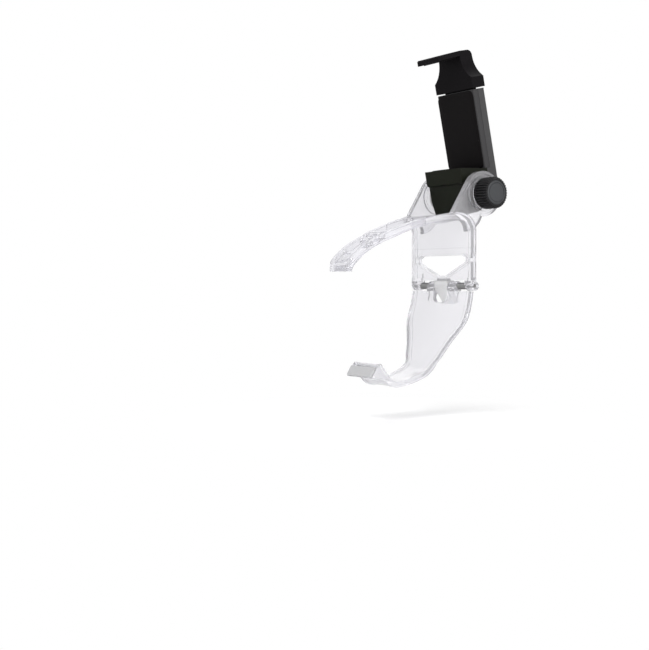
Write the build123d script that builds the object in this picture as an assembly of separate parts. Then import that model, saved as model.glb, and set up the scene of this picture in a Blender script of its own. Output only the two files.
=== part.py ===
from build123d import *
import os
from math import acos, atan2, cos, degrees, hypot, radians, sin

# Clip that carries a phone above a hand-held controller. A clear bracket reaches over the
# controller, a clear sprung hook swings under it on a steel pin, and a black sprung clamp
# tilts between the bracket's two ears on a bolt with a knurled side knob.
# Millimetres. Origin: middle of the hinge pin. +X along the pin, +Z up, the arm points to -Y.

# Clearances
RUNNING_FIT = 0.08
SIDE_GAP = 0.3
SLIDE_FIT = 0.2

# Hinge pin and its knuckles
PIN_R = 1.0
PIN_CHAMFER = 0.25
KNUCKLE_R = 2.5
OUTER_KNUCKLE_W = 4.8
INNER_KNUCKLE_W = 5.4
TONGUE_W = 10.4
TONGUE_TOP = 4.0
TONGUE_TOE = (3.6, -9.6)
TONGUE_HEEL = (6.6, -8.6)
NOTCH_LOW = 8.5
NOTCH_CORNER = 3.0

# Clear bracket: upright plate, bend and arm, in one sheet
PLATE_W = 48.0
PLATE_Y = -1.1
PLATE_TOP = 27.5
PLATE_SILL = 1.4
SHEET_T = 2.4
EDGE_T = 3.6
EDGE_W = 2.0
BEND_R = 8.0
BEND_TURN = 101.0
ARM_R = 164.0
ARM_TURN = 15.6
NOSE_R = 43.0
NOSE_TURN = 22.0
CURL_R = 6.0
CURL_TURN = 40.0
ARM_END_W = 16.8
# Places along the arm, and the share of the plate's extra width that is left there
ARM_WAIST = ((-5.0, 0.96), (-12.0, 0.58), (-20.0, 0.35), (-30.0, 0.21), (-42.0, 0.16), (-46.0, 0.045))

# Openings along the arm: width, length and the place of the middle, corner
ARM_SLOTS = ((9.5, 4.0, -48.2, 1.6), (9.2, 8.8, -57.4, 2.4))
ARM_WINDOW_W = 16.4
ARM_WINDOW_END_W = 12.4
ARM_WINDOW_BACK = -18.5
ARM_WINDOW_FRONT = -42.5
WINDOW_RIM = 1.2

# Window over the controller's rear lamp
WINDOW_TOP = 15.8
WINDOW_LOW = 5.4
WINDOW_W = 40.0
WINDOW_LOW_W = 8.4
WINDOW_SHOULDER = 12.4

# Clamp, in its own upright frame with the pivot at its origin, then leant forward
LEAN = 12.3
BODY_W = 28.4
FACE_V = 8.0
BODY_T = 8.4
COVER_T = 3.6
COVER_EDGE = 0.5
BODY_LOW = 1.2
BODY_TOP = 53.2
WALL = 1.4
CORNER_R = 1.4
PHONE_PAD_T = 0.5
PHONE_PAD_W = 27.0
PHONE_PAD_L = 39.0
JAW_REACH = 16.9
LOWER_JAW_TOP = 12.3
LOWER_JAW_RISE = 2.8
LOWER_JAW_T = 7.6
CHIN_SET = 1.3
CHIN_LOW = 9.0
CHIN_LOW_W = 24.8
CHIN_EDGE = 0.8
JAW_PAD_T = 0.6
SLIDE_W = 22.0
SLIDE_T = 2.4
SLIDE_LOW = 14.0
HEAD_GAP = 0.7
HEAD_W = 29.2
HEAD_FLANK = 59.4
HEAD_TOP = 73.8
HEAD_CORNER_R = 3.0
UPPER_JAW_W = 17.0
UPPER_JAW_T = 2.6
UPPER_JAW_FALL = 1.1
UPPER_JAW_REACH = 14.6
JAW_LIP = 0.3
SPRING_X = 6.5
SPRING_R = 1.5
SPRING_BORE_R = 1.0
SPRING_PEG_R = 0.8
SCREW_R = 1.9
SCREW_T = 0.9

# Ears that hold the clamp
EAR_GAP = 1.8
EAR_T = 3.2
EAR_R = 11.6
EAR_FOOT_TURN = 0.35
EAR_BACK_ANGLE = -95.0
EAR_HEEL_BACK = 2.1
EAR_HEEL_Z = 28.0
EAR_WAIST_R = 14.0
EAR_RIM_W = 1.3
EAR_WEB_SINK = 0.5
BOSS_R = 9.0
BOSS_T = 0.8
PIVOT_Y = 9.9
PIVOT_Z = 47.5

# Clear hook under the controller
HOOK_W = 46.0
HOOK_WEB_T = 2.2
HOOK_T = 3.0
HOOK_TOP_Y = -1.6
HOOK_HEADING = 263.0
HOOK_MOVES = ((60.0, -18.0), (19.0, 0.0), (14.0, -42.0), (55.0, -18.0), (7.0, -55.0), (9.5, 0.0))
HOOK_END_W = 21.2
HOOK_WAIST = ((-18.0, 0.96), (-24.5, 0.68), (-31.0, 0.37), (-37.0, 0.145), (-44.0, 0.0))
LIP_W = 21.0
LIP_DROP = 5.1
LIP_DEPTH = 3.1
LIP_LENGTH = 7.8
LIP_PAD_T = 1.0

# Pivot bolt, nut and knob
BOLT_R = 2.0
BOLT_HEAD_R = 3.5
BOLT_HEAD_T = 2.6
NUT_R = 3.7
NUT_FLOOR = 0.9
KNOB_R = 8.1
KNOB_T = 8.6
KNOB_EDGE = 1.6
KNOB_TEETH = 36
TOOTH_DEPTH = 0.7
KNOB_CAP_R = 6.2
KNOB_CAP_T = 1.2
WASHER_R = 7.0
WASHER_T = 1.6

# Torsion springs on the hinge pin
COIL_WIRE_R = 0.35
COIL_FIT = 0.1
COIL_LEAN = 15.0
COIL_LOW_LEG = 8.0
COIL_TOP_LEG = 6.5


def heading(angle):
    """Unit vector in the sketch plane at an angle in degrees."""
    return Vector(cos(radians(angle)), sin(radians(angle)))


def strip(start, angle, moves, thickness):
    """Face of even thickness along tangent runs. A move is (radius, turn), or (length, 0)."""
    edges = []
    ends = []
    for side in (1, -1):
        point = Vector(*start) + heading(angle + 90) * (side * thickness / 2)
        ends.append(point)
        way = angle
        for size, turn in moves:
            if turn:
                inward = side if turn > 0 else -side
                edge = JernArc(point, heading(way), size - inward * thickness / 2, turn)
            else:
                edge = Line(point, point + heading(way) * size)
            edges.append(edge)
            point = edge @ 1
            way += turn
        ends.append(point)
    edges += [Line(ends[0], ends[2]), Line(ends[1], ends[3])]
    return make_face(edges)


def path_end(start, angle, moves):
    """Last point of a path of tangent runs, and the heading there."""
    point = Vector(*start)
    for size, turn in moves:
        edge = JernArc(point, heading(angle), size, turn) if turn else Line(point, point + heading(angle) * size)
        point = edge @ 1
        angle += turn
    return point, angle


def side_prism(face, width, x=0.0):
    """Extrudes a face drawn in (Y, Z) evenly about a plane of constant X."""
    return Pos(x, 0, 0) * extrude(Plane.YZ * face, amount=width / 2, both=True)


def x_cylinder(radius, low, high, y=0.0, z=0.0):
    """Cylinder along X between two X positions."""
    middle = (low + high) / 2
    return Pos(middle, y, z) * Rot(0, 90, 0) * Cylinder(radius, high - low)


def block(x0, x1, y0, y1, z0, z1):
    """Box given by its two corners."""
    return Pos((x0 + x1) / 2, (y0 + y1) / 2, (z0 + z1) / 2) * Box(x1 - x0, y1 - y0, z1 - z0)


def mirrored(shape):
    """The same shape on the other side of the middle plane."""
    return mirror(shape, about=Plane.YZ)


# Places worked out from the sizes above
PLATE_HALF = PLATE_W / 2
OUTER_KNUCKLE_IN = PLATE_HALF - OUTER_KNUCKLE_W
INNER_KNUCKLE_IN = TONGUE_W / 2 + SIDE_GAP
INNER_KNUCKLE_OUT = INNER_KNUCKLE_IN + INNER_KNUCKLE_W
PLATE_LOW = KNUCKLE_R + SIDE_GAP
SHEET_START = (PLATE_Y, PLATE_LOW)
SHEET_MOVES = (
    (PLATE_TOP - PLATE_LOW, 0.0),
    (BEND_R, BEND_TURN),
    (ARM_R, ARM_TURN),
    (NOSE_R, NOSE_TURN),
    (CURL_R, CURL_TURN),
)
ARM_TIP, ARM_TIP_HEADING = path_end(SHEET_START, 90.0, SHEET_MOVES)
EAR_INSIDE = BODY_W / 2 + EAR_GAP
EAR_OUT = EAR_INSIDE + EAR_T
BOSS_OUT = EAR_OUT + BOSS_T
KNOB_IN = BOSS_OUT + SIDE_GAP
KNOB_OUT = KNOB_IN + KNOB_T
LUG_OUT = EAR_INSIDE - WASHER_T - RUNNING_FIT
BACK_V = FACE_V + BODY_T
JAW_BACK_V = FACE_V + WALL
COVER_V = FACE_V + COVER_T
CAVITY_BACK_V = BACK_V - WALL
SLIDE_MID_V = (JAW_BACK_V + CAVITY_BACK_V) / 2
HEAD_LOW = BODY_TOP + HEAD_GAP
JAW_TIP_V = FACE_V - JAW_REACH
JAW_LOW = LOWER_JAW_TOP + LOWER_JAW_RISE - LOWER_JAW_T


def arm_outline(inset=0.0):
    """Plan of the bracket: full width over the plate, then waisting in to the narrow nose."""
    half = PLATE_HALF - inset
    tip = ARM_END_W / 2 - inset
    reach = ARM_TIP.X - EDGE_T / 2 + inset
    *waist, neck, step = [(tip + share * (half - tip), y) for y, share in ARM_WAIST]
    side = [
        Line((half, 14), (half, -1)),
        Spline((half, -1), *waist, neck, tangents=((0, -1), (0, -1))),
        Line(neck, step),
        Line(step, (tip, reach + 4)),
        RadiusArc((tip, reach + 4), (tip - 4, reach), 4),
    ]
    other = [mirror(edge, about=Plane.YZ) for edge in side]
    ends = [Line((half, 14), (-half, 14)), Line((tip - 4, reach), (-tip + 4, reach))]
    return make_face(side + other + ends)


def arm_windows():
    """Plan of the three openings that leave two rails along the arm."""
    back, front = ARM_WINDOW_W / 2, ARM_WINDOW_END_W / 2
    big = Polygon(
        (-back, ARM_WINDOW_BACK), (back, ARM_WINDOW_BACK), (front, ARM_WINDOW_FRONT), (-front, ARM_WINDOW_FRONT),
        align=None,
    )
    slots = [Pos(0, middle) * RectangleRounded(width, length, corner) for width, length, middle, corner in ARM_SLOTS]
    return [fillet(big.vertices(), ARM_WINDOW_END_W / 4)] + slots


def lamp_window(grow=0.0):
    """Opening in the plate, drawn in (X, Z): a flat top and a shallow V below."""
    top = WINDOW_W / 2 - 3
    face = Polygon(
        (-top, WINDOW_TOP), (-WINDOW_W / 2, WINDOW_TOP - 1.6), (-WINDOW_W / 2, WINDOW_SHOULDER),
        (-WINDOW_LOW_W / 2, WINDOW_LOW), (WINDOW_LOW_W / 2, WINDOW_LOW),
        (WINDOW_W / 2, WINDOW_SHOULDER), (WINDOW_W / 2, WINDOW_TOP - 1.6), (top, WINDOW_TOP), align=None,
    )
    return offset(face, amount=grow, kind=Kind.INTERSECTION) if grow else face


def ear_outline():
    """Side view of an ear: a disc on the pivot with a web that runs down onto the sheet."""
    start = Vector(PLATE_Y, PLATE_TOP)
    bend, way = path_end(SHEET_START, 90.0, SHEET_MOVES[:2])
    toe = JernArc(bend, heading(way), ARM_R, EAR_FOOT_TURN)
    foot = toe @ 1
    reach = hypot(foot.X - PIVOT_Y, foot.Y - PIVOT_Z)
    bearing = degrees(atan2(foot.Y - PIVOT_Z, foot.X - PIVOT_Y))
    middle = Vector(PIVOT_Y, PIVOT_Z)
    front = middle + heading(bearing - degrees(acos(EAR_R / reach))) * EAR_R
    back = middle + heading(EAR_BACK_ANGLE) * EAR_R
    heel = Vector(PLATE_Y + EAR_HEEL_BACK, EAR_HEEL_Z)
    web = make_face([
        JernArc(start, (0, 1), BEND_R, BEND_TURN),
        toe,
        Line(foot, front),
        Line(front, back),
        RadiusArc(back, heel, EAR_WAIST_R),
        Line(heel, start),
    ])
    return web + Pos(PIVOT_Y, PIVOT_Z) * Circle(EAR_R)


def ear():
    """Right ear: a web with a raised rim and a boss ring round the bolt."""
    outline = ear_outline()
    middle = Pos(PIVOT_Y, PIVOT_Z)
    fin = side_prism(outline, EAR_T, EAR_INSIDE + EAR_T / 2)
    field = offset(outline, amount=-EAR_RIM_W, kind=Kind.ARC) - middle * Circle(BOSS_R)
    fin -= side_prism(field, EAR_WEB_SINK, EAR_OUT - EAR_WEB_SINK / 2)
    ring = middle * (Circle(BOSS_R) - Circle(BOSS_R - EAR_RIM_W))
    return fin + side_prism(ring, BOSS_T, EAR_OUT + BOSS_T / 2)


def upper_bracket():
    """Clear moulding: plate, arm, ears, outer knuckles and the tongue that stops the hook."""
    outline = arm_outline()
    windows = arm_windows()
    tall = 2 * PIVOT_Z
    half_t = EDGE_T / 2
    sheet = side_prism(strip(SHEET_START, 90.0, SHEET_MOVES, SHEET_T), PLATE_W + 2)
    thick = side_prism(strip(SHEET_START, 90.0, SHEET_MOVES, EDGE_T), PLATE_W + 2)
    body = sheet & extrude(outline, amount=tall, both=True)
    body += thick & extrude(outline - arm_outline(EDGE_W), amount=tall, both=True)
    for window in windows:
        rim = offset(window, amount=WINDOW_RIM, kind=Kind.ARC) - window
        body += thick & extrude(rim, amount=tall, both=True)
    sill = extrude(Plane.XZ * (lamp_window(EDGE_W / 2) - lamp_window()), amount=4 * EDGE_T, both=True)
    body += thick & sill
    for window in windows:
        body -= extrude(window, amount=tall, both=True)
    body -= extrude(Plane.XZ * lamp_window(), amount=4 * EDGE_T, both=True)
    body += block(-PLATE_HALF, PLATE_HALF, PLATE_Y - half_t, PLATE_Y + half_t, PLATE_LOW, PLATE_LOW + PLATE_SILL)
    fin = ear()
    body += fin + mirrored(fin)
    barrel = x_cylinder(KNUCKLE_R, OUTER_KNUCKLE_IN, PLATE_HALF)
    barrel += block(OUTER_KNUCKLE_IN, PLATE_HALF, PLATE_Y - half_t, PLATE_Y + half_t, 0, PLATE_LOW + 1)
    body += barrel + mirrored(barrel)
    body += side_prism(tongue_profile(), TONGUE_W)
    body -= x_cylinder(PIN_R + RUNNING_FIT, -PLATE_W, PLATE_W)
    body -= x_cylinder(BOLT_R + RUNNING_FIT, -PLATE_W, PLATE_W, PIVOT_Y, PIVOT_Z)
    pocket = Plane.YZ * (Pos(PIVOT_Y, PIVOT_Z) * RegularPolygon(NUT_R + RUNNING_FIT, 6))
    body -= Pos(-EAR_OUT - BOSS_T, 0, 0) * extrude(pocket, amount=EAR_T + BOSS_T - NUT_FLOOR)
    return body


def tongue_profile():
    """Side view of the tongue: it wraps the pin below the plate, then leans back behind the hook."""
    return Polygon(
        (-KNUCKLE_R, TONGUE_TOP), (-KNUCKLE_R, -1.0), TONGUE_TOE, TONGUE_HEEL, (KNUCKLE_R, -1.5),
        (KNUCKLE_R, TONGUE_TOP / 2), (KNUCKLE_R / 3, TONGUE_TOP), align=None,
    )


def hinge_pin():
    """Steel pin, flush with the outer knuckles, with a small chamfer at each end."""
    pin = x_cylinder(PIN_R, -PLATE_HALF, PLATE_HALF)
    return chamfer(pin.edges().filter_by(GeomType.CIRCLE), PIN_CHAMFER)


def torsion_spring(side):
    """Close-wound steel coil round the pin, one leg up behind the plate and one down behind the hook."""
    low = INNER_KNUCKLE_OUT + SIDE_GAP + COIL_WIRE_R
    high = OUTER_KNUCKLE_IN - SIDE_GAP - COIL_WIRE_R
    mean = PIN_R + COIL_FIT + COIL_WIRE_R
    turns = int((high - low) / (1.8 * COIL_WIRE_R)) + 1
    rows = [Pos(low + (high - low) * row / (turns - 1), mean) * Circle(COIL_WIRE_R) for row in range(turns)]
    spring = revolve(Sketch() + rows, Axis.X)
    for x, turn, length in ((low, 180.0 - COIL_LEAN, -COIL_LOW_LEG), (high, 0.0, COIL_TOP_LEG)):
        leg = Pos(0, mean if length > 0 else -mean, abs(length) / 2) * Cylinder(COIL_WIRE_R, abs(length))
        spring += Pos(x, 0, 0) * Rot(turn, 0, 0) * leg
    return spring if side > 0 else mirrored(spring)


def hook_start():
    """Top middle of the hook's sheet."""
    return (HOOK_TOP_Y, -KNUCKLE_R - SIDE_GAP)


def hook_outline(inset=0.0):
    """Front view of the hook: wide at the hinge, drawn in below, drawn in (X, Z)."""
    half = HOOK_W / 2 - inset
    narrow = HOOK_END_W / 2 - inset
    shoulder = hook_start()[1] - 6.0
    waist = [(narrow + share * (half - narrow), z) for z, share in HOOK_WAIST]
    right = [
        Line((half, 2), (half, shoulder)),
        Spline((half, shoulder), *waist, tangents=((0, -1), (0, -1))),
        Line(waist[-1], (narrow, -60)),
    ]
    left = [mirror(edge, about=Plane.YZ) for edge in right]
    return make_face(right + left + [Line((half, 2), (-half, 2)), Line((narrow, -60), (-narrow, -60))])


def lip_profile():
    """Side view of the wedge on the hook's outer side: crest, toe and heel."""
    end, way = path_end(hook_start(), HOOK_HEADING, HOOK_MOVES)
    crest = end + heading(way + 90) * (HOOK_T / 2)
    toe = crest + Vector(-LIP_DEPTH, -LIP_DROP)
    heel = crest + heading(way + 180) * LIP_LENGTH
    return crest, toe, heel, heading(way - 90)


def lower_hook():
    """Clear moulding that hooks under the controller: knuckles, broad leg, sole and lip."""
    start = hook_start()
    flat = strip(start, HOOK_HEADING, HOOK_MOVES, HOOK_WEB_T)
    thick = strip(start, HOOK_HEADING, HOOK_MOVES, HOOK_T)
    outline = hook_outline()
    ring = outline - hook_outline(EDGE_W)
    body = side_prism(flat, HOOK_W + 2) & extrude(Plane.XZ * outline, amount=4 * PLATE_W, both=True)
    body += side_prism(thick, HOOK_W + 2) & extrude(Plane.XZ * ring, amount=4 * PLATE_W, both=True)
    crest, toe, heel, inward = lip_profile()
    corners = [crest, toe, heel, heel + inward, crest + inward]
    body += side_prism(Polygon(*[(corner.X, corner.Y) for corner in corners], align=None), LIP_W)
    for side in (1, -1):
        low, high = sorted((side * INNER_KNUCKLE_IN, side * INNER_KNUCKLE_OUT))
        barrel = x_cylinder(KNUCKLE_R, low, high)
        neck = block(low, high, HOOK_TOP_Y - HOOK_T / 2, HOOK_TOP_Y + HOOK_T / 2, start[1] - 1.5, 0)
        body += barrel + neck
    notch = RectangleRounded(2 * INNER_KNUCKLE_IN, 2 * NOTCH_LOW, NOTCH_CORNER)
    body -= extrude(Plane.XZ * notch, amount=KNUCKLE_R + 3, both=True)
    body -= x_cylinder(PIN_R + RUNNING_FIT, -PLATE_W, PLATE_W)
    return body


def hook_pad():
    """Grey soft pad on the front face of the hook's lip."""
    crest, toe, _, _ = lip_profile()
    along = (toe - crest).normalized()
    out = Vector(along.Y, -along.X) * LIP_PAD_T
    first, last = crest + along * 0.3, toe - along * 0.3
    corners = [first, last, last + out, first + out]
    return side_prism(Polygon(*[(corner.X, corner.Y) for corner in corners], align=None), LIP_W - 0.8)


def arm_pad():
    """Clear soft strip under the arm's curled nose."""
    nose, way = path_end(SHEET_START, 90.0, SHEET_MOVES[:-1])
    depth = (EDGE_T + JAW_PAD_T) / 2
    point = nose + heading(way + 90) * depth
    face = strip((point.X, point.Y), way, ((CURL_R - depth, CURL_TURN),), JAW_PAD_T)
    return side_prism(face, ARM_END_W - 3 * EDGE_W)


def pivot_washer(side):
    """Grey friction washer between an ear and the clamp's lug."""
    low, high = sorted((side * (LUG_OUT + RUNNING_FIT), side * EAR_INSIDE))
    ring = x_cylinder(WASHER_R, low, high, PIVOT_Y, PIVOT_Z)
    return ring - x_cylinder(BOLT_R + RUNNING_FIT, low, high, PIVOT_Y, PIVOT_Z)


def pivot_nut():
    """Steel nut held in the far ear's six-sided pocket."""
    thick = EAR_T - NUT_FLOOR
    nut = extrude(Plane.YZ * (Pos(PIVOT_Y, PIVOT_Z) * RegularPolygon(NUT_R, 6)), amount=thick)
    nut -= x_cylinder(BOLT_R + RUNNING_FIT, 0, thick, PIVOT_Y, PIVOT_Z)
    return Pos(-EAR_OUT, 0, 0) * nut


def pivot_bolt():
    """Steel bolt from the knob through both ears to the nut."""
    seat = KNOB_OUT - KNOB_CAP_T - BOLT_HEAD_T
    shank = x_cylinder(BOLT_R, -EAR_OUT, seat, PIVOT_Y, PIVOT_Z)
    head = extrude(Plane.YZ * (Pos(PIVOT_Y, PIVOT_Z) * RegularPolygon(BOLT_HEAD_R, 6)), amount=BOLT_HEAD_T)
    return shank + Pos(seat, 0, 0) * head


def knob():
    """Black hand knob with a ring of teeth, a raised rim and a pocket for the bolt head."""
    teeth = []
    for index in range(KNOB_TEETH):
        angle = 360.0 * index / KNOB_TEETH
        half = 90.0 / KNOB_TEETH
        for turn, radius in ((-half, KNOB_R - TOOTH_DEPTH), (0.0, KNOB_R), (half, KNOB_R - TOOTH_DEPTH)):
            teeth.append(tuple(heading(angle + turn) * radius)[:2])
    wheel = extrude(Plane.YZ * Polygon(*teeth, align=None), amount=KNOB_T)
    dome = extrude(Plane.YZ * Circle(KNOB_R + 1), amount=KNOB_T)
    dome = chamfer(dome.faces().sort_by(Axis.X)[-1].edges(), KNOB_EDGE)
    wheel &= dome
    wheel -= Pos(KNOB_T - KNOB_CAP_T / 2, 0, 0) * Rot(0, 90, 0) * Cylinder(KNOB_CAP_R, KNOB_CAP_T)
    wheel -= Pos(KNOB_T - KNOB_CAP_T - BOLT_HEAD_T, 0, 0) * extrude(Plane.YZ * RegularPolygon(BOLT_HEAD_R, 6), amount=BOLT_HEAD_T)
    wheel -= Pos(KNOB_T / 2, 0, 0) * Rot(0, 90, 0) * Cylinder(BOLT_R, KNOB_T)
    return Pos(KNOB_IN, PIVOT_Y, PIVOT_Z) * wheel


def knob_cap():
    """Smooth black disc let into the knob's face."""
    cap = x_cylinder(KNOB_CAP_R - RUNNING_FIT, KNOB_OUT - KNOB_CAP_T, KNOB_OUT, PIVOT_Y, PIVOT_Z)
    return fillet(cap.faces().sort_by(Axis.X)[-1].edges(), 0.35)


def leant(shape):
    """Places a clamp piece, drawn upright about the pivot, on the pivot and leans it forward."""
    return Pos(0, PIVOT_Y, PIVOT_Z) * Rot(LEAN, 0, 0) * shape


def lower_jaw_pad_block():
    """Pad on the lower jaw's gripping face, let in flush, before it is leant."""
    slope = degrees(atan2(LOWER_JAW_RISE, JAW_REACH))
    half = BODY_W / 2 - 2 * WALL
    pad = block(-half, half, 2 * WALL - JAW_REACH, -WALL, -JAW_PAD_T, 0)
    return Pos(0, FACE_V, LOWER_JAW_TOP) * Rot(-slope, 0, 0) * pad


def lower_jaw():
    """Fixed jaw with its chin and the lug that turns on the bolt."""
    chin_v = JAW_TIP_V + CHIN_SET
    jaw = side_prism(Polygon(
        (JAW_BACK_V, LOWER_JAW_TOP), (FACE_V, LOWER_JAW_TOP), (JAW_TIP_V, LOWER_JAW_TOP + LOWER_JAW_RISE),
        (JAW_TIP_V, JAW_LOW), (chin_v, JAW_LOW - CHIN_EDGE), (JAW_BACK_V, JAW_LOW - CHIN_EDGE), align=None,
    ), BODY_W)
    lug_face = Polygon(
        (chin_v, JAW_LOW), (chin_v, CHIN_EDGE - CHIN_LOW), (chin_v + CHIN_EDGE, -CHIN_LOW), (0, -CHIN_LOW),
        (JAW_BACK_V, -CHIN_LOW / 2), (JAW_BACK_V, JAW_LOW), align=None,
    )
    half, low_half = BODY_W / 2, CHIN_LOW_W / 2
    taper = Polygon(
        (-half, JAW_LOW + 1), (-half, -1), (-low_half, -CHIN_LOW), (low_half, -CHIN_LOW), (half, -1),
        (half, JAW_LOW + 1), align=None,
    )
    lug = side_prism(lug_face, BODY_W) & extrude(Plane.XZ * taper, amount=4 * CHIN_LOW, both=True)
    body = jaw + lug + x_cylinder(WASHER_R, -LUG_OUT, LUG_OUT)
    body -= x_cylinder(BOLT_R + RUNNING_FIT, -BODY_W, BODY_W)
    return leant(body - lower_jaw_pad_block())


def lower_jaw_pad():
    """Thin soft pad let into the lower jaw's gripping face."""
    return leant(lower_jaw_pad_block())


def rear_shell():
    """Back half of the clamp's housing, open to the front, slotted above for the slide."""
    half = BODY_W / 2
    shell = block(-half, half, COVER_V, BACK_V, BODY_LOW, BODY_TOP)
    shell += block(-half, half, JAW_BACK_V, COVER_V, BODY_LOW, LOWER_JAW_TOP)
    back = shell.faces().sort_by(Axis.Y)[-1]
    shell = fillet([edge for edge in back.edges() if abs((edge % 0.5).Z) > 0.9], CORNER_R)
    shell -= block(-half + WALL, half - WALL, JAW_BACK_V, CAVITY_BACK_V, BODY_LOW + WALL, BODY_TOP - WALL)
    shell -= slide_slot()
    for side in (1, -1):
        peg = Rot(90, 0, 0) * Cylinder(SPRING_PEG_R, CAVITY_BACK_V - SLIDE_MID_V + SLIDE_T / 2)
        middle = (SLIDE_MID_V - SLIDE_T / 2 + CAVITY_BACK_V) / 2
        shell += Pos(side * SPRING_X, middle, spring_low()) * peg
    for x, z in screw_places():
        shell -= Pos(x, BACK_V - SCREW_T / 2, z) * Rot(90, 0, 0) * Cylinder(SCREW_R, SCREW_T)
    return leant(shell)


def spring_low():
    """Height of the lower spring pegs."""
    return BODY_LOW + WALL + SPRING_R + 1.0


def spring_high():
    """Height of the upper spring pegs, on the slide."""
    return BODY_TOP - WALL - SPRING_R - 1.0


def slide_slot():
    """Room for the slide through the top of both halves of the housing."""
    half = SLIDE_W / 2 + SLIDE_FIT
    deep = SLIDE_T / 2 + SLIDE_FIT
    return block(-half, half, SLIDE_MID_V - deep, SLIDE_MID_V + deep, BODY_TOP - 2 * WALL, BODY_TOP + 1)


def front_cover():
    """Front half of the clamp's housing: a tray with a flat face behind the phone."""
    half = BODY_W / 2
    cover = block(-half, half, FACE_V, COVER_V, LOWER_JAW_TOP, BODY_TOP)
    front = cover.faces().sort_by(Axis.Y)[0]
    cover = chamfer([edge for edge in front.edges() if abs((edge % 0.5).Z) > 0.9], COVER_EDGE)
    cover -= block(-half + WALL, half - WALL, JAW_BACK_V, COVER_V, LOWER_JAW_TOP, BODY_TOP - WALL)
    return leant(cover - slide_slot())


def phone_pad():
    """Thin soft pad on the front cover, which the phone's back rests on."""
    middle = (LOWER_JAW_TOP + BODY_TOP) / 2
    pad = Plane.XZ * (Pos(0, middle) * RectangleRounded(PHONE_PAD_W, PHONE_PAD_L, 2.0))
    return leant(Pos(0, FACE_V, 0) * extrude(pad, amount=PHONE_PAD_T))


def sliding_jaw():
    """Moving jaw: waisted head, hooked finger and the forked slide that runs in the housing."""
    half = HEAD_W / 2
    neck = UPPER_JAW_W / 2
    right = [
        Line((half, HEAD_LOW), (half, HEAD_FLANK)),
        ThreePointArc((half, HEAD_FLANK), (neck + 1.7, HEAD_FLANK + 4.8), (neck, HEAD_TOP - 2.4)),
        Line((neck, HEAD_TOP - 2.4), (neck, HEAD_TOP)),
    ]
    left = [mirror(edge, about=Plane.YZ) for edge in right]
    face = make_face(right + left + [Line((half, HEAD_LOW), (-half, HEAD_LOW)), Line((neck, HEAD_TOP), (-neck, HEAD_TOP))])
    head = Pos(0, FACE_V, 0) * extrude(Plane.XZ * face, amount=-BODY_T)
    tip = FACE_V - UPPER_JAW_REACH
    under = HEAD_TOP - UPPER_JAW_T
    fall = UPPER_JAW_FALL
    head += side_prism(Polygon(
        (BACK_V, HEAD_TOP), (BACK_V, under), (FACE_V, under), (tip + 1.8, under - fall),
        (tip + 1.2, under - fall - JAW_LIP), (tip, under - fall - JAW_LIP), (tip, HEAD_TOP - fall - 0.6),
        (tip + 0.6, HEAD_TOP - fall), (FACE_V, HEAD_TOP), align=None,
    ), UPPER_JAW_W)
    corner = Pos(BACK_V, HEAD_TOP) * Rectangle(2 * HEAD_CORNER_R, 2 * HEAD_CORNER_R)
    corner -= Pos(BACK_V - HEAD_CORNER_R, HEAD_TOP - HEAD_CORNER_R) * Circle(HEAD_CORNER_R)
    head -= side_prism(corner, 2 * HEAD_W)
    thin = SLIDE_T / 2
    slide = block(-SLIDE_W / 2, SLIDE_W / 2, SLIDE_MID_V - thin, SLIDE_MID_V + thin, SLIDE_LOW, HEAD_LOW + 0.5)
    for side in (1, -1):
        channel = SPRING_R + 2 * SLIDE_FIT
        middle = side * SPRING_X
        slide -= block(middle - channel, middle + channel, SLIDE_MID_V - SLIDE_T, SLIDE_MID_V + SLIDE_T, SLIDE_LOW - 1, spring_high() + channel)
        peg = x_cylinder(SPRING_PEG_R, middle - channel - 0.2, middle + channel + 0.2, SLIDE_MID_V, spring_high())
        slide += peg
    return leant(head + slide)


def jaw_spring(side):
    """Close-wound spring that pulls the moving jaw down, as a plain tube with an eye at each end."""
    low, high = spring_low(), spring_high()
    eye = SPRING_PEG_R + SLIDE_FIT + 0.3
    length = high - low - 2 * eye
    tube = Cylinder(SPRING_R, length) - Cylinder(SPRING_BORE_R, length - 2)
    spring = Pos(0, 0, (low + high) / 2) * tube
    spring += Pos(0, 0, low) * Rot(90, 0, 0) * Torus(eye, 0.3)
    spring += Pos(0, 0, high) * Rot(0, 90, 0) * Torus(eye, 0.3)
    return leant(Pos(side * SPRING_X, SLIDE_MID_V, 0) * spring)


def upper_jaw_pad():
    """Thin soft pad under the moving jaw's finger."""
    slope = degrees(atan2(UPPER_JAW_FALL, UPPER_JAW_REACH - 1.8))
    half = UPPER_JAW_W / 2 - WALL
    pad = block(-half, half, 2 * WALL - UPPER_JAW_REACH, -WALL, -JAW_PAD_T, 0)
    return leant(Pos(0, FACE_V, HEAD_TOP - UPPER_JAW_T) * Rot(slope, 0, 0) * pad)


def screw_places():
    """Middles of the housing's four screws, on its back."""
    across = BODY_W / 2 - SCREW_R - WALL
    low, high = BODY_LOW + 4 * SCREW_R, BODY_TOP - 2 * SCREW_R
    return [(x, z) for x in (-across, across) for z in (low, high)]


def housing_screw(x, z):
    """Pan head of one housing screw, sunk in the back wall."""
    head = Rot(90, 0, 0) * Cylinder(SCREW_R, SCREW_T)
    return leant(Pos(x, BACK_V - SCREW_T / 2, z) * head)


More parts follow.
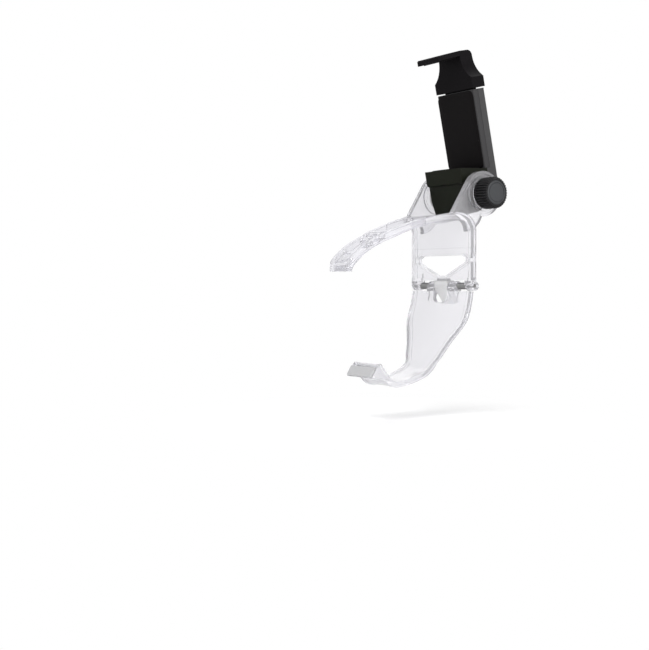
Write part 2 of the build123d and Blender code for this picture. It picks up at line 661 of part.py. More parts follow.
NODES = {
    "upper_bracket": upper_bracket,
    "hinge_pin": hinge_pin,
    "torsion_spring_right": lambda: torsion_spring(1),
    "torsion_spring_left": lambda: torsion_spring(-1),
    "lower_hook": lower_hook,
    "hook_pad": hook_pad,
    "arm_pad": arm_pad,
    "pivot_washer_right": lambda: pivot_washer(1),
    "pivot_washer_left": lambda: pivot_washer(-1),
    "pivot_nut": pivot_nut,
    "pivot_bolt": pivot_bolt,
    "knob": knob,
    "knob_cap": knob_cap,
    "lower_jaw": lower_jaw,
    "lower_jaw_pad": lower_jaw_pad,
    "rear_shell": rear_shell,
    "front_cover": front_cover,
    "phone_pad": phone_pad,
    "sliding_jaw": sliding_jaw,
    "upper_jaw_pad": upper_jaw_pad,
    "jaw_spring_right": lambda: jaw_spring(1),
    "jaw_spring_left": lambda: jaw_spring(-1),
    "screw_right_low": lambda: housing_screw(*screw_places()[2]),
    "screw_right_high": lambda: housing_screw(*screw_places()[3]),
    "screw_left_low": lambda: housing_screw(*screw_places()[0]),
    "screw_left_high": lambda: housing_screw(*screw_places()[1]),
}

os.makedirs("parts", exist_ok=True)
for name, make in NODES.items():
    export_step(make(), f"parts/{name}.step")
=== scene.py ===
"""Looks of a clear sprung clip with a black phone clamp. Metres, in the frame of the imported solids."""

import math

import bmesh
import bpy
import numpy as np
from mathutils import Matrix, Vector


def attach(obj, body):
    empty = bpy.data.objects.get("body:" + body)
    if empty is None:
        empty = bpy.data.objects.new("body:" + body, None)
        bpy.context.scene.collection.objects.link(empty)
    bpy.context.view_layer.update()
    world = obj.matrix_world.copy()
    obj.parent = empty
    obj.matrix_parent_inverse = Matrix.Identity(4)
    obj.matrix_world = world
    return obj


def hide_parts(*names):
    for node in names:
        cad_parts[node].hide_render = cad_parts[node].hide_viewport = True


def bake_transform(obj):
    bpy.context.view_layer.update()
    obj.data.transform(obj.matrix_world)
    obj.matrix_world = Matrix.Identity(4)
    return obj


MM = 0.001

# Places and sizes that the pieces share with the solids, in millimetres
PIVOT_Y, PIVOT_Z = 9.9, 47.5
LEAN = math.radians(12.3)
FACE_V = 8.0
BODY_W, BODY_T = 28.4, 8.4
BACK_V = FACE_V + BODY_T
COIL_MEAN, COIL_WIRE = 1.45, 0.35
COIL_LOW, COIL_HIGH = 11.55, 18.55
COIL_LEAN = math.radians(15.0)
KNOB_IN, KNOB_T, KNOB_R = 20.3, 8.6, 8.1
KNOB_TEETH, TOOTH_DEPTH = 36, 0.7
KNOB_CAP_R, KNOB_CAP_T = 6.2, 1.2
LOWER_JAW_TOP, LOWER_JAW_RISE, JAW_REACH = 12.3, 2.8, 16.9
BODY_LOW, BODY_TOP = 1.2, 53.2
HEAD_TOP, UPPER_JAW_T, UPPER_JAW_W = 73.8, 2.6, 17.0
UPPER_JAW_FALL, UPPER_JAW_REACH, FINGER_ROOT = 1.1, 14.6, 1.8
WALL, PHONE_PAD_T = 1.4, 0.5
SCREW_R, SCREW_T = 1.9, 0.9
ARM_NECK_Y = -13.0
STOP_HALF_W, STOP_LOW, STOP_HIGH, STOP_FRONT_Y = 5.21, -9.7, 2.6, -2.6

# Forms that only the scene has, in millimetres
COIL_TURNS, STEPS_PER_TURN, WIRE_SHARE = 9, 26, 0.93
LEG_START, UPPER_LEG_END, LOWER_LEG_END = 0.35, 6.5, 7.9
PAD_SIDE_GAP, PAD_END_GAP, PAD_CORNER = 0.8, 0.5, 3.2
RIB_HEIGHT, RIB_SINK = 0.22, 0.1
LOWER_GRIP_T, LOWER_GRIP_RIBS, LOWER_GRIP_GAP = 0.55, 9, 0.1
UPPER_GRIP_T, UPPER_GRIP_RIBS = 0.3, 8
CROSS_HALF_W, CROSS_REACH, CROSS_DEPTH = 0.42, 1.15, 0.45

# Meshes: points closer than this, in metres, become one, and faces that meet at a smaller angle than
# this, in degrees, are joined. No point lies in front of the last, in millimetres.
MERGE_RINGS, MERGE_SOLID = 0.000002, 0.000003
FLAT_ANGLE = 0.4
EVERYWHERE = -1000.0

# The plate's raised band, in metres: where its lower, upper and front edges start and end
BAND_LOWER, BAND_UPPER, BAND_FRONT = (0.0156, 0.0160), (0.0193, 0.0197), (-0.0045, -0.0040)
BAND_RISE = 0.00035

# Share of the clear plastic's tint kept where its faces turn away from the view, a painted shade for its
# grey edges, and the stretch of the steel's streaks
GRAZING_SHADE_TINT = 0.66
STREAK_SCALE = (120.0, 2600.0, 2600.0)

# The floor, in metres, lies clear of the hook at its widest swing and fades out round the clip's shadow
FLOOR_LEVEL, FLOOR_REACH = -0.0675, 4.0
FADE_START, FADE_END, FADE_SHIFT = 0.03, 0.12, 0.04
FLOOR_TONE = (0.93, 0.93, 0.93, 1.0)
SKY_STRENGTH = 0.62
LAMP_TARGET = (0.0, -0.01, 0.04)

# Photograph: the camera that the object's own lines agree on
CAMERA_PLACE = (0.46626, -0.39048, 0.00061)
CAMERA_TILT = (math.radians(88.0), 0.0, math.radians(56.0))
CAMERA_LENS = 36.0 * 1150.0 / 649.0


# Shader building

class Signal:
    """A socket. Arithmetic on one that carries a number adds Math nodes."""

    def __init__(self, finish, socket):
        self.finish = finish
        self.socket = socket

    def step(self, operation, *terms):
        return self.finish.add("ShaderNodeMath", {"operation": operation}, dict(enumerate(terms)))[0]

    def __add__(self, other):
        return self.step("ADD", self, other)

    def __sub__(self, other):
        return self.step("SUBTRACT", self, other)

    def __rsub__(self, other):
        return self.step("SUBTRACT", other, self)

    def __mul__(self, other):
        return self.step("MULTIPLY", self, other)

    def __pow__(self, other):
        return self.step("POWER", self, other)

    __radd__ = __add__
    __rmul__ = __mul__


class Finish:
    """A material being built."""

    def __init__(self, name):
        self.material = bpy.data.materials.new(name)
        self.material.use_nodes = True
        self.tree = self.material.node_tree
        self.tree.nodes.clear()

    def add(self, kind, settings=None, inputs=None):
        """Adds a node. Settings go first, then values or links of its sockets."""
        node = self.tree.nodes.new(kind)
        for key, value in (settings or {}).items():
            setattr(node, key, value)
        for key, value in (inputs or {}).items():
            if isinstance(value, Signal):
                self.tree.links.new(value.socket, node.inputs[key])
            else:
                node.inputs[key].default_value = value
        return [Signal(self, out) for out in node.outputs]

    def place(self):
        """Object coordinates in metres."""
        return self.add("ShaderNodeTexCoord")[3]

    def noise(self, scale, detail=3.0, rough=0.5):
        """Noise from 0 to 1 at a number of cells per metre."""
        inputs = {"Vector": self.place(), "Scale": scale, "Detail": detail, "Roughness": rough}
        return self.add("ShaderNodeTexNoise", None, inputs)[0]

    def blend(self, factor, first, second):
        """Mixes two colours."""
        return self.add("ShaderNodeMix", {"data_type": "RGBA"}, {0: factor, 6: first, 7: second})[2]

    def ramp_up(self, value, start, end):
        """Smooth step from 0 to 1 between two places."""
        inputs = {"Value": value, "From Min": start, "From Max": end}
        return self.add("ShaderNodeMapRange", {"interpolation_type": "SMOOTHSTEP"}, inputs)[0]

    def bump(self, height, depth, normal=None):
        """Normal bent by a height from 0 to 1 that stands for a depth in metres."""
        inputs = {"Height": height, "Distance": depth, "Strength": 1.0}
        if normal:
            inputs["Normal"] = normal
        return self.add("ShaderNodeBump", None, inputs)[0]

    def surface(self, **sockets):
        """Ends the material in a Principled BSDF. Underscores in names stand for spaces."""
        inputs = {key.replace("_", " "): value for key, value in sockets.items()}
        shader = self.add("ShaderNodeBsdfPrincipled", None, inputs)[0]
        self.add("ShaderNodeOutputMaterial", None, {"Surface": shader})
        return self.material


def clear_plastic(name, tint, haze, clearness, band=False, ior=1.36):
    """Clear moulded plastic, a little milky: slow flow waves, fine haze, and painted shade at the edges,
    where the colour darkens as faces turn away from the view. The band is a low raised strip across the
    plate above the lamp window."""
    finish = Finish(name)
    waves = finish.noise(70.0, 2.0, 0.4)
    specks = finish.noise(700.0, 3.0, 0.6)
    # Painted shade: the tint darkens towards faces seen edge-on, standing in for the grey edges of light
    # through the plastic
    edge = finish.add("ShaderNodeLayerWeight", None, {"Blend": 0.30})[1]
    body = finish.blend(edge, (*tint, 1.0), tuple(channel * GRAZING_SHADE_TINT for channel in tint) + (1.0,))
    normal = finish.bump(waves, 0.00008)
    if band:
        x, y, z = finish.add("ShaderNodeSeparateXYZ", None, {0: finish.place()})
        level = finish.ramp_up(z, *BAND_LOWER) - finish.ramp_up(z, *BAND_UPPER)
        normal = finish.bump(level * finish.ramp_up(y, *BAND_FRONT), BAND_RISE, normal)
    return finish.surface(
        Base_Color=body, Roughness=haze + specks * 0.08, IOR=ior, Transmission_Weight=clearness,
        Specular_IOR_Level=0.45, Normal=normal,
    )


def moulded(name, dark, light, rough, sheen=0.3, grain=0.00002):
    """Opaque moulding: spark-eroded grain, a faint drift between two tones and rubbed, shinier areas."""
    finish = Finish(name)
    drift = finish.noise(60.0, 3.0, 0.5)
    fine = finish.noise(3600.0, 2.0, 0.6)
    colour = finish.blend(drift, (*dark, 1.0), (*light, 1.0))
    return finish.surface(
        Base_Color=colour, Roughness=rough + drift * 0.10 + fine * 0.06, Specular_IOR_Level=sheen,
        Normal=finish.bump(fine, grain),
    )


def silicone(name, tone, tint=(1.0, 1.0, 1.0), sheen=0.35):
    """Soft matt rubber with a fine bloom and dust specks."""
    finish = Finish(name)
    cloud = finish.noise(220.0, 4.0, 0.6)
    fine = finish.noise(5200.0, 2.0, 0.5)
    low = tuple(tone * channel * 0.88 for channel in tint) + (1.0,)
    high = tuple(tone * channel * 1.08 for channel in tint) + (1.0,)
    return finish.surface(
        Base_Color=finish.blend(cloud, low, high), Roughness=0.62 + cloud * 0.14,
        Specular_IOR_Level=sheen, Normal=finish.bump(fine, 0.00004),
    )


def steel(name, tone, gloss):
    """Drawn steel: streaks along the pin and a light smoky tarnish."""
    finish = Finish(name)
    inputs = {"Vector": finish.place(), "Scale": STREAK_SCALE}
    stretched = finish.add("ShaderNodeMapping", None, inputs)[0]
    streaks = finish.add("ShaderNodeTexNoise", None, {"Vector": stretched, "Scale": 1.0, "Detail": 2.0})[0]
    smoke = finish.noise(260.0, 4.0, 0.6)
    low = (tone * 0.8, tone * 0.8, tone * 0.82, 1.0)
    high = (tone * 1.15, tone * 1.14, tone * 1.12, 1.0)
    return finish.surface(
        Base_Color=finish.blend(smoke, low, high), Metallic=1.0, Roughness=gloss + streaks * 0.14,
        Normal=finish.bump(streaks, 0.00001),
    )


# Surfaces

def grid_piece(name, points, body, material, caps=False):
    """Mesh over closed rings of points, an array of rings by points by 3, in millimetres. Caps close the
    first and the last ring."""
    rings, around = points.shape[:2]
    index = np.arange(rings * around).reshape(rings, around)
    upper, lower = index[:-1], index[1:]
    quads = np.stack([upper, np.roll(upper, -1, 1), np.roll(lower, -1, 1), lower], -1)
    faces = quads.reshape(-1, 4).tolist()
    if caps:
        faces += [index[0, ::-1].tolist(), index[-1].tolist()]
    mesh = bpy.data.meshes.new(name)
    mesh.from_pydata((points.reshape(-1, 3) * MM).tolist(), [], faces)
    return finished(name, mesh, body, material)


def finished(name, mesh, body, material, sharp=35.0):
    """Makes the object of a mesh: doubles merged, faces outward, smooth with crisp edges, riding on a body
    if one is named."""
    work = bmesh.new()
    work.from_mesh(mesh)
    bmesh.ops.remove_doubles(work, verts=work.verts, dist=MERGE_RINGS)
    bmesh.ops.recalc_face_normals(work, faces=work.faces)
    work.to_mesh(mesh)
    work.free()
    mesh.polygons.foreach_set("use_smooth", np.ones(len(mesh.polygons), dtype=bool))
    mesh.set_sharp_from_angle(angle=math.radians(sharp))
    mesh.materials.clear()
    mesh.materials.append(material)
    piece = bpy.data.objects.new(name, mesh)
    bpy.context.scene.collection.objects.link(piece)
    if body:
        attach(piece, body)
    return piece


def vertex_places(mesh):
    """Places of a mesh's vertices, in millimetres."""
    place = np.empty(3 * len(mesh.vertices), dtype=np.float32)
    mesh.vertices.foreach_get("co", place)
    return place.reshape(-1, 3) / MM


def edge_depths(mesh):
    """Y of each edge's middle, in millimetres."""
    ends = np.empty(2 * len(mesh.edges), dtype=np.int32)
    mesh.edges.foreach_get("vertices", ends)
    return vertex_places(mesh)[ends.reshape(-1, 2), 1].mean(1)


def rounded_copy(node, name, body, material, radius, from_y=EVERYWHERE, sharp=28.0):
    """Copy of a solid with rounded edges. Flat faces are joined and cut anew, but those in front of from_y
    keep their own facets and creases. The normals are weighted by face area, so that curves and flats both
    shade true."""
    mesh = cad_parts[node].data.copy()
    if "sharp_edge" not in mesh.attributes:
        mesh.attributes.new("sharp_edge", "BOOLEAN", "EDGE")
    mesh.attributes["sharp_edge"].data.foreach_set("value", edge_depths(mesh) <= from_y)
    work = bmesh.new()
    work.from_mesh(mesh)
    bmesh.ops.remove_doubles(work, verts=work.verts, dist=MERGE_SOLID)
    bmesh.ops.dissolve_limit(
        work, angle_limit=math.radians(FLAT_ANGLE), verts=work.verts, edges=work.edges, delimit={"SHARP"},
    )
    bmesh.ops.triangulate(work, faces=work.faces)
    work.to_mesh(mesh)
    work.free()
    mesh.polygons.foreach_set("use_smooth", np.ones(len(mesh.polygons), dtype=bool))
    mesh.set_sharp_from_angle(angle=math.radians(sharp))
    crisp = np.zeros(len(mesh.edges), dtype=bool)
    mesh.attributes["sharp_edge"].data.foreach_get("value", crisp)
    mesh.attributes["sharp_edge"].data.foreach_set("value", crisp & (edge_depths(mesh) <= from_y))
    mesh.materials.clear()
    mesh.materials.append(material)
    piece = bpy.data.objects.new(name, mesh)
    bpy.context.scene.collection.objects.link(piece)
    bevel = piece.modifiers.new("edges", "BEVEL")
    bevel.width = radius * MM
    bevel.segments = 2
    bevel.limit_method = "ANGLE"
    bevel.angle_limit = math.radians(sharp)
    normals = piece.modifiers.new("normals", "WEIGHTED_NORMAL")
    normals.weight = 80
    normals.keep_sharp = from_y > EVERYWHERE
    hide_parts(node)
    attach(piece, body)
    return piece


def leant(points):
    """Clamp points (x, depth, height about the pivot), leant forward with the clamp."""
    x, v, w = np.moveaxis(np.asarray(points, dtype=float), -1, 0)
    y = PIVOT_Y + v * math.cos(LEAN) - w * math.sin(LEAN)
    z = PIVOT_Z + v * math.sin(LEAN) + w * math.cos(LEAN)
    return np.stack([x, y, z], -1)


def turned(profile, count, cuts=None):
    """Profile of (x, radius) carried round the pivot's line. Cuts are depths taken off the radius, from the
    places along the line and the angles."""
    angle = np.linspace(0, 2 * np.pi, count, endpoint=False)
    x, radius = np.asarray(profile, dtype=float).T
    reach = radius[:, None] * np.ones(count)
    if cuts is not None:
        reach = reach - cuts(x, angle)
    return np.stack([
        np.repeat(x[:, None], count, 1), PIVOT_Y + reach * np.cos(angle), PIVOT_Z + reach * np.sin(angle),
    ], -1)


def tube_along(path, radius, sides=10):
    """Round tube: a circle of the radius stands square to the path at each of its points, and turns about
    the path as little as possible from one to the next."""
    path = np.asarray(path, dtype=float)
    ahead = np.gradient(path, axis=0)
    ahead /= np.linalg.norm(ahead, axis=1)[:, None]
    across = np.empty_like(path)
    start = np.cross(ahead[0], (1.0, 0.0, 0.0))
    if np.linalg.norm(start) < 0.1:
        start = np.cross(ahead[0], (0.0, 1.0, 0.0))
    across[0] = start / np.linalg.norm(start)
    for step in range(1, len(path)):
        side = across[step - 1] - ahead[step] * np.dot(across[step - 1], ahead[step])
        across[step] = side / np.linalg.norm(side)
    other = np.cross(ahead, across)
    angle = np.linspace(0, 2 * np.pi, sides, endpoint=False)
    ring = across[:, None] * np.cos(angle)[:, None] + other[:, None] * np.sin(angle)[:, None]
    return path[:, None] + ring * radius


def rounded_outline(width, height, corner, steps=8):
    """Rounded rectangle as a ring of points: four quarter circles about the corner centres, joined by
    straights."""
    quarter = np.linspace(0, np.pi / 2, steps)
    turn = (np.arange(4) * np.pi / 2)[:, None] + quarter
    middle_x = (width / 2 - corner) * np.array([1, -1, -1, 1])[:, None]
    middle_y = (height / 2 - corner) * np.array([1, 1, -1, -1])[:, None]
    ring = np.stack([middle_x + corner * np.cos(turn), middle_y + corner * np.sin(turn)], -1)
    return ring.reshape(-1, 2)


def bar_of_profile(profile, low, high):
    """Outline in (depth, height) carried straight along X between two places."""
    outline = np.asarray(profile, dtype=float)
    return np.stack([np.column_stack([np.full(len(outline), x), outline]) for x in (low, high)])


# The frame and its finishes

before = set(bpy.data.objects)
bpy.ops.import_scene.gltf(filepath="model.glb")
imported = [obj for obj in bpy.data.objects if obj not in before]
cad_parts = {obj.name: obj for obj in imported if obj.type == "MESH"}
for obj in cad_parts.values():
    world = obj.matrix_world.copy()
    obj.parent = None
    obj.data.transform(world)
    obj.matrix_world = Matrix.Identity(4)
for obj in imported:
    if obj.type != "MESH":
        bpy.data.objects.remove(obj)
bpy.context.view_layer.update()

CLEAR = clear_plastic("clear_bracket", (0.955, 0.95, 0.98), 0.07, 0.80, band=True)
CLEAR_ARM = clear_plastic("clear_arm", (0.91, 0.905, 0.94), 0.17, 0.75, ior=1.18)
# Painted highlight: the stop tongue's finish is whiter and less clear than the other clear plastic
CLEAR_STOP_PAINTED_HIGHLIGHT = clear_plastic("clear_stop_painted_highlight", (0.99, 0.99, 1.0), 0.20, 0.45)
CLEAR_HOOK = clear_plastic("clear_hook", (0.955, 0.95, 0.98), 0.12, 0.76)
SOFT_CLEAR = clear_plastic("soft_clear", (0.86, 0.86, 0.89), 0.30, 0.55)
JAW_BLACK = moulded("jaw_black", (0.0040, 0.0050, 0.0022), (0.0064, 0.0080, 0.0034), 0.42, 0.09)
COVER_GREY = moulded("cover_grey", (0.019, 0.018, 0.019), (0.029, 0.028, 0.030), 0.40, 0.26)
HEAD_BLACK = moulded("head_black", (0.0030, 0.0023, 0.0030), (0.0048, 0.0040, 0.0048), 0.42, 0.05)
SHELL_GREY = moulded("shell_grey", (0.028, 0.027, 0.028), (0.042, 0.041, 0.043), 0.44, 0.28)
KNOB_BLACK = moulded("knob_black", (0.0040, 0.0040, 0.0046), (0.0075, 0.0075, 0.0085), 0.34, 0.22)
CAP_GREY = moulded("knob_face", (0.026, 0.028, 0.031), (0.036, 0.038, 0.042), 0.38, 0.30)
PAD_GREY = silicone("grey_silicone", 0.50, (1.0, 1.0, 1.02))
WASHER_GREY = silicone("washer_grey", 0.45)
FOAM_BLACK = silicone("black_foam", 0.0042, (1.0, 0.82, 0.88), 0.07)
PIN_STEEL = steel("pin_steel", 0.20, 0.26)
SPRING_STEEL = steel("spring_steel", 0.30, 0.30)
NUT_STEEL = steel("nut_steel", 0.55, 0.26)
SCREW_STEEL = steel("screw_steel", 0.10, 0.34)


def coil_path(side):
    """Straight leg up behind the plate, a helix of even pitch round the pin, straight leg down behind the
    hook."""
    sweep = np.linspace(0.0, 2 * np.pi * COIL_TURNS + COIL_LEAN, COIL_TURNS * STEPS_PER_TURN)
    along = COIL_HIGH - (COIL_HIGH - COIL_LOW) * sweep / sweep[-1]
    coil = np.stack([along, COIL_MEAN * np.cos(sweep), -COIL_MEAN * np.sin(sweep)], -1)
    rise = np.linspace(UPPER_LEG_END, LEG_START, 8)
    top = np.stack([np.full(8, COIL_HIGH), np.full(8, COIL_MEAN), rise], -1)
    run = np.linspace(LEG_START, LOWER_LEG_END, 9)[:, None]
    low = coil[-1] + run * np.array([0.0, -math.sin(COIL_LEAN), -math.cos(COIL_LEAN)])
    path = np.concatenate([top, coil, low])
    path[:, 0] *= side
    return path


def torsion_coils():
    """The two wound wire springs on the hinge pin, one leg up behind the plate and the other down behind the
    hook."""
    for side, word in ((1, "right"), (-1, "left")):
        points = tube_along(coil_path(side), COIL_WIRE * WIRE_SHARE)
        spring = grid_piece(f"hinge_coil_{word}", points, None, SPRING_STEEL, caps=True)
        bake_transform(spring)
        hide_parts(f"torsion_spring_{word}")


def knob_with_teeth():
    """Hand knob, a profile turned round the pivot's line: a toothed rim with rounded peaks, a chamfered lip,
    a stepped face and a flat back."""
    x0, x1 = KNOB_IN, KNOB_IN + KNOB_T
    profile = [
        (x0, 2.0), (x0, 6.6), (x0 + 0.15, 7.2), (x0 + 0.45, KNOB_R), (x0 + 1.2, KNOB_R),
        (x0 + 2.4, KNOB_R), (x0 + 3.6, KNOB_R), (x1 - 1.3, KNOB_R), (x1 - 0.7, KNOB_R - 0.2),
        (x1 - 0.25, KNOB_R - 0.6), (x1 - 0.05, KNOB_R - 1.0), (x1, KNOB_R - 1.2),
        (x1 - 0.02, KNOB_CAP_R + 0.25), (x1 - 0.12, KNOB_CAP_R), (x1 - KNOB_CAP_T, KNOB_CAP_R),
        (x1 - KNOB_CAP_T, 2.0), (x0, 2.0),
    ]

    def teeth(x, angle):
        """Depth of the cuts: one less a power of the cosine's size, once per tooth, gives V-shaped valleys.
        They are open to the face and run out at the back."""
        valley = 1 - np.abs(np.cos(angle * KNOB_TEETH / 2)) ** 0.8
        run_in = np.clip((x - x0) / 0.5, 0, 1)
        on_rim = np.clip((np.asarray(profile)[:, 1] - KNOB_CAP_R - 0.3) / 0.4, 0, 1)
        return 1.2 * TOOTH_DEPTH * valley[None, :] * (run_in * on_rim)[:, None]

    piece = grid_piece("knob_rim", turned(profile, KNOB_TEETH * 10, teeth), "knob", KNOB_BLACK)
    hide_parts("knob")


def knob_face():
    """Smooth disc in the knob, a profile turned round the pivot's line: low rings and a slight dome."""
    x1 = KNOB_IN + KNOB_T
    radius = KNOB_CAP_R - 0.08
    profile = [
        (x1 - KNOB_CAP_T, 0.0), (x1 - KNOB_CAP_T, radius), (x1 - 0.3, radius), (x1 - 0.08, radius - 0.1),
        (x1, radius - 0.35), (x1, radius - 0.9), (x1 - 0.25, radius - 1.05), (x1 - 0.25, radius - 1.3),
        (x1 - 0.05, radius - 1.5), (x1, 2.4), (x1, 1.2), (x1, 0.0),
    ]
    piece = grid_piece("knob_disc", turned(profile, 72), "knob", CAP_GREY)
    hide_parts("knob_cap")


def back_pad():
    """Thin soft sheet on the housing's front: a rounded rectangle drawn in over a rolled edge."""
    width = BODY_W - PAD_SIDE_GAP
    height = BODY_TOP - LOWER_JAW_TOP - PAD_END_GAP
    rings = []
    for inset, proud in ((0.0, 0.0), (0.0, 0.34), (0.06, 0.44), (0.18, PHONE_PAD_T), (3.0, PHONE_PAD_T)):
        ring = rounded_outline(width - 2 * inset, height - 2 * inset, PAD_CORNER - inset)
        rings.append(np.column_stack([
            ring[:, 0], np.full(len(ring), FACE_V - proud), (BODY_TOP + LOWER_JAW_TOP) / 2 + ring[:, 1],
        ]))
    piece = grid_piece("back_pad", leant(rings), "phone_holder", FOAM_BLACK, caps=True)
    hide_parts("phone_pad")


def ribbed_pad(name, node, body, start, end, thick, half, ribs):
    """Soft grip with round ribs across: the face's height is a run of half sine waves over a flat foot.
    Start and end are (depth, height) along the gripping face, and the foot lies on its left."""
    start, end = np.array(start), np.array(end)
    run = np.linspace(0, 1, ribs * 8 + 1)[:, None]
    along = (end - start) / np.linalg.norm(end - start)
    out = np.array([along[1], -along[0]])
    wave = RIB_HEIGHT * np.abs(np.sin(np.pi * ribs * run))
    face = start + (end - start) * run + out * (wave - RIB_SINK)
    foot = np.stack([end - out * thick, start - out * thick])
    points = bar_of_profile(np.concatenate([face, foot]), -half, half)
    piece = grid_piece(name, leant(points), body, FOAM_BLACK, caps=True)
    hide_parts(node)


def grip_pads():
    """Ribbed grips of the lower and the moving jaw."""
    slope = LOWER_JAW_RISE / JAW_REACH
    inner, outer = [
        (FACE_V - reach, LOWER_JAW_TOP + slope * reach) for reach in (WALL, JAW_REACH - 2 * WALL)
    ]
    ribbed_pad(
        "lower_grip_pad", "lower_jaw_pad", "phone_holder", outer, inner, LOWER_GRIP_T,
        BODY_W / 2 - 2 * WALL - LOWER_GRIP_GAP, LOWER_GRIP_RIBS,
    )
    under, fall = HEAD_TOP - UPPER_JAW_T, UPPER_JAW_FALL / (UPPER_JAW_REACH - FINGER_ROOT)
    inner, outer = [
        (FACE_V - reach, under - fall * reach - UPPER_GRIP_T)
        for reach in (WALL, UPPER_JAW_REACH - 2 * WALL)
    ]
    ribbed_pad(
        "upper_grip_pad", "upper_jaw_pad", "sliding_jaw", inner, outer, UPPER_GRIP_T,
        UPPER_JAW_W / 2 - WALL, UPPER_GRIP_RIBS,
    )


def screw_heads():
    """Four sunk pan heads, as a grid of rings and angles. The dome falls with the square of the radius, and
    the cross is sunk where a point is near either middle line and not far along it."""
    angle = np.linspace(0, 2 * np.pi, 96, endpoint=False)
    radius = np.concatenate([[SCREW_R - 0.05, SCREW_R - 0.05], np.linspace(SCREW_R - 0.12, 0.0, 22)])
    sunk = np.concatenate([[SCREW_T, 0.3], 0.24 - 0.16 * (1 - (radius[2:] / SCREW_R) ** 2)])
    across = np.abs(radius[:, None] * np.cos(angle))
    along = np.abs(radius[:, None] * np.sin(angle))
    within_width = np.clip((CROSS_HALF_W - np.minimum(across, along)) / 0.12, 0, 1)
    within_reach = np.clip((CROSS_REACH - np.maximum(across, along)) / 0.15, 0, 1)
    depth = sunk[:, None] + CROSS_DEPTH * (within_width * within_reach)
    for side, word in ((1, "right"), (-1, "left")):
        for height, level in ((BODY_LOW + 4 * SCREW_R, "low"), (BODY_TOP - 2 * SCREW_R, "high")):
            x = side * (BODY_W / 2 - SCREW_R - WALL) + radius[:, None] * np.cos(angle)
            points = leant(np.stack([x, BACK_V - depth, height + radius[:, None] * np.sin(angle)], -1))
            piece = grid_piece(f"back_screw_{word}_{level}", points, "phone_holder", SCREW_STEEL)
            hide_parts(f"screw_{word}_{level}")


def milky_arm_and_painted_stop_highlight(piece):
    """Gives the bracket's thin arm and its thick stop tongue, below and behind the pin, their milkier
    finishes. The stop tongue's finish is whiter and less clear, a painted highlight."""
    mesh = piece.data
    mesh.materials.append(CLEAR_STOP_PAINTED_HIGHLIGHT)
    mesh.materials.append(CLEAR_ARM)
    middle = np.empty(3 * len(mesh.polygons))
    mesh.polygons.foreach_get("center", middle)
    x, y, z = middle.reshape(-1, 3).T / MM
    # Painted highlight: faces of the stop tongue take its whiter finish
    stop_painted_highlight = (np.abs(x) < STOP_HALF_W) & (z < STOP_HIGH) & (z > STOP_LOW) & (y > STOP_FRONT_Y)
    mesh.polygons.foreach_set("material_index", np.where(y < ARM_NECK_Y, 2, stop_painted_highlight.astype(int)))


def moulded_pieces():
    """Rounded copies of the rigid mouldings, each in its own finish."""
    bracket = rounded_copy(
        "upper_bracket", "bracket_moulding", "upper_bracket", CLEAR, 0.35, from_y=ARM_NECK_Y,
    )
    milky_arm_and_painted_stop_highlight(bracket)
    for node, name, body, material, radius in (
        ("lower_hook", "hook_moulding", "lower_hook", CLEAR_HOOK, 0.35),
        ("lower_jaw", "lower_jaw_moulding", "phone_holder", JAW_BLACK, 0.4),
        ("rear_shell", "rear_shell_moulding", "phone_holder", SHELL_GREY, 0.3),
        ("front_cover", "front_cover_moulding", "phone_holder", COVER_GREY, 0.25),
        ("sliding_jaw", "sliding_jaw_moulding", "sliding_jaw", HEAD_BLACK, 0.4),
        ("hook_pad", "lip_pad", "lower_hook", PAD_GREY, 0.3),
    ):
        rounded_copy(node, name, body, material, radius)


def plain_nodes():
    """Solids that keep their own shape and get a finish."""
    for node, material in (
        ("hinge_pin", PIN_STEEL), ("arm_pad", SOFT_CLEAR), ("pivot_washer_right", WASHER_GREY),
        ("pivot_washer_left", WASHER_GREY), ("pivot_nut", NUT_STEEL), ("pivot_bolt", NUT_STEEL),
        ("jaw_spring_right", SPRING_STEEL), ("jaw_spring_left", SPRING_STEEL),
    ):
        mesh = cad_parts[node].data
        mesh.materials.clear()
        mesh.materials.append(material)


# Studio

def studio_world():
    """White to the eye, in glass and in gloss, and a softer even light on the object."""
    world = bpy.data.worlds.new("studio")
    bpy.context.scene.world = world
    world.use_nodes = True
    tree = world.node_tree
    tree.nodes.clear()
    path = tree.nodes.new("ShaderNodeLightPath")
    seen = tree.nodes.new("ShaderNodeMath")
    seen.operation = "MAXIMUM"
    tree.links.new(path.outputs["Is Camera Ray"], seen.inputs[0])
    tree.links.new(path.outputs["Is Transmission Ray"], seen.inputs[1])
    shone = tree.nodes.new("ShaderNodeMath")
    shone.operation = "MAXIMUM"
    tree.links.new(seen.outputs[0], shone.inputs[0])
    tree.links.new(path.outputs["Is Glossy Ray"], shone.inputs[1])
    sky = tree.nodes.new("ShaderNodeBackground")
    sky.inputs["Color"].default_value = (1, 1, 1, 1)
    sky.inputs["Strength"].default_value = SKY_STRENGTH
    white = tree.nodes.new("ShaderNodeBackground")
    white.inputs["Color"].default_value = (1, 1, 1, 1)
    white.inputs["Strength"].default_value = 1.0
    mix = tree.nodes.new("ShaderNodeMixShader")
    tree.links.new(shone.outputs[0], mix.inputs[0])
    tree.links.new(sky.outputs[0], mix.inputs[1])
    tree.links.new(white.outputs[0], mix.inputs[2])
    out = tree.nodes.new("ShaderNodeOutputWorld")
    tree.links.new(mix.outputs[0], out.inputs["Surface"])


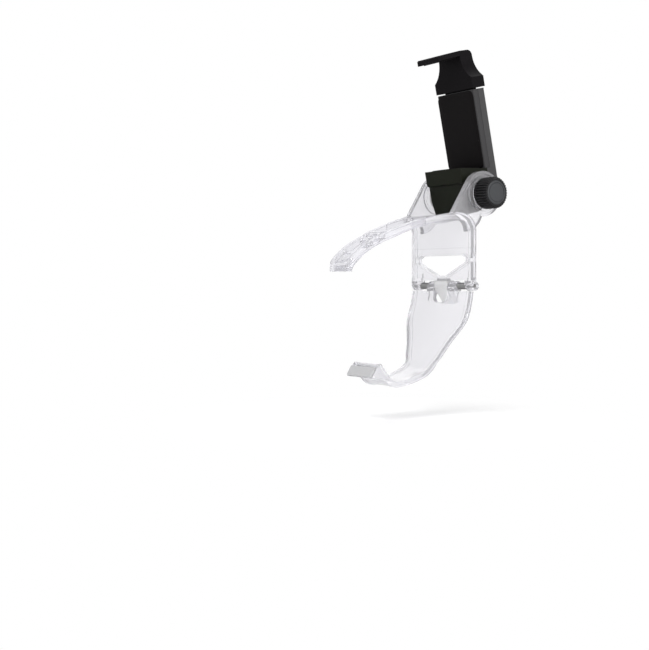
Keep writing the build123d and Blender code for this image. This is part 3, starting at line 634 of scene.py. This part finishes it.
def floor():
    """Pale floor under the object that fades into the white surroundings, and isn't seen from below."""
    finish = Finish("pale_floor")
    place = finish.add("ShaderNodeSeparateXYZ", None, {0: finish.place()})
    along = place[1] + FADE_SHIFT
    away = (place[0] * place[0] + along * along) ** 0.5
    fade = finish.ramp_up(away, FADE_START, FADE_END)
    matt = finish.add("ShaderNodeBsdfDiffuse", None, {"Color": FLOOR_TONE})[0]
    white = finish.add("ShaderNodeEmission", None, {"Color": (1, 1, 1, 1), "Strength": 1.0})[0]
    rays = finish.add("ShaderNodeLightPath")
    seen = rays[0].step("MAXIMUM", rays[0], rays[6])
    upper = finish.add("ShaderNodeMixShader", None, {0: fade * seen, 1: matt, 2: white})[0]
    clear = finish.add("ShaderNodeBsdfTransparent")[0]
    under = finish.add("ShaderNodeNewGeometry")[6]
    mixed = finish.add("ShaderNodeMixShader", None, {0: under, 1: upper, 2: clear})[0]
    finish.add("ShaderNodeOutputMaterial", None, {"Surface": mixed})
    mesh = bpy.data.meshes.new("floor")
    corners = [
        (x * FLOOR_REACH, y * FLOOR_REACH, FLOOR_LEVEL) for x, y in ((-1, -1), (1, -1), (1, 1), (-1, 1))
    ]
    mesh.from_pydata(corners, [], [(0, 1, 2, 3)])
    mesh.materials.append(finish.material)
    plane = bpy.data.objects.new("floor", mesh)
    bpy.context.scene.collection.objects.link(plane)


def lamp(name, place, size, power):
    """Square soft lamp aimed at the clip."""
    data = bpy.data.lights.new(name, "AREA")
    data.size = size
    data.energy = power
    lamp_object = bpy.data.objects.new(name, data)
    lamp_object.location = place
    lamp_object.visible_transmission = False
    aim = Vector(LAMP_TARGET) - Vector(place)
    lamp_object.rotation_euler = aim.to_track_quat("-Z", "Y").to_euler()
    bpy.context.scene.collection.objects.link(lamp_object)


def camera():
    """Camera at the photograph's place and angle."""
    data = bpy.data.cameras.new("camera")
    data.sensor_width = 36.0
    data.lens = CAMERA_LENS
    data.clip_start = 0.01
    eye = bpy.data.objects.new("camera", data)
    eye.location = CAMERA_PLACE
    eye.rotation_euler = CAMERA_TILT
    bpy.context.scene.collection.objects.link(eye)
    bpy.context.scene.camera = eye


camera()
torsion_coils()
knob_with_teeth()
knob_face()
moulded_pieces()
back_pad()
grip_pads()
screw_heads()
plain_nodes()
studio_world()
floor()
lamp("key", (0.30, -0.80, 0.80), 0.50, 6.0)
lamp("side", (0.90, 0.30, 0.30), 0.40, 4.0)
lamp("rim", (-0.60, 0.50, 0.75), 1.20, 3.5)
bpy.context.scene.view_settings.view_transform = "Standard"
